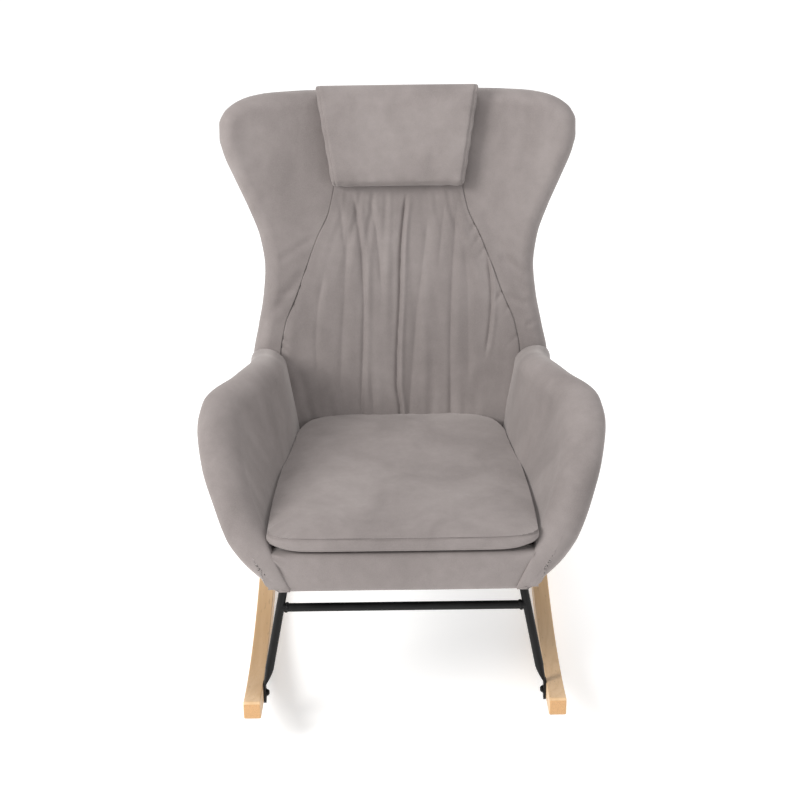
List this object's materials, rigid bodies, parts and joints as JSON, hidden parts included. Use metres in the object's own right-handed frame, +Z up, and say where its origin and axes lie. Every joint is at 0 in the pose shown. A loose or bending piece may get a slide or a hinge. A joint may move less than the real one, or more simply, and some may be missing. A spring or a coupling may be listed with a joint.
{
  "type": "rocking chair",
  "caption": "Upholstered wing-back rocking chair with bucket arms, loose seat cushion and head pad, on a tubular steel base with curved wooden rockers.",
  "frame": {"origin": "middle of the bounding box on the floor, under the chair", "axes": "+Z up, -Y is the way the sitter faces, +X to the right as seen from in front"},
  "size_m": [0.777, 0.92, 1.0649],
  "materials": {
    "beech": "satin",
    "black_steel": "satin",
    "zinc_steel": "satin",
    "strip_felt": "matte",
    "frame_wood": "matte",
    "webbing": "matte",
    "dust_cloth": "matte",
    "foam": "matte",
    "velvet": "matte"
  },
  "bodies": {
    "frame": {"arm_bolts": "zinc_steel", "arm_pad_left": "velvet", "arm_pad_right": "velvet", "arm_panel_left": "frame_wood", "arm_panel_right": "frame_wood", "back_board": "frame_wood", "back_bolts": "zinc_steel", "back_centre_pad": "velvet", "back_rear_cover": "velvet", "corner_blocks": "frame_wood", "dust_cover": "dust_cloth", "front_apron": "velvet", "front_crossbar": "black_steel", "front_leg_left": "black_steel", "front_leg_right": "black_steel", "front_mount_plate": "black_steel", "glide_strips": "strip_felt", "head_pad": "velvet", "plate_bolts": "zinc_steel", "plate_tee_nuts": "zinc_steel", "rear_crossbar": "black_steel", "rear_leg_left": "black_steel", "rear_leg_right": "black_steel", "rear_mount_plate": "black_steel", "rocker_bolts": "black_steel", "rocker_inserts": "zinc_steel", "rocker_left": "beech", "rocker_right": "beech", "rocker_washers": "black_steel", "seat_foam": "foam", "seat_front_rail": "frame_wood", "seat_rear_rail": "frame_wood", "seat_side_rail_left": "frame_wood", "seat_side_rail_right": "frame_wood", "webbing_crosswise": "webbing", "webbing_lengthwise": "webbing", "wing_pad_left": "velvet", "wing_pad_right": "velvet"},
    "cushion": {"seat_cushion": "velvet"}
  },
  "joints": [
    {"name": "cushion_lift", "type": "slide", "parent": "frame", "child": "cushion", "axis": [0, 0, 1], "range_m": [0, 0.72]}
  ]
}
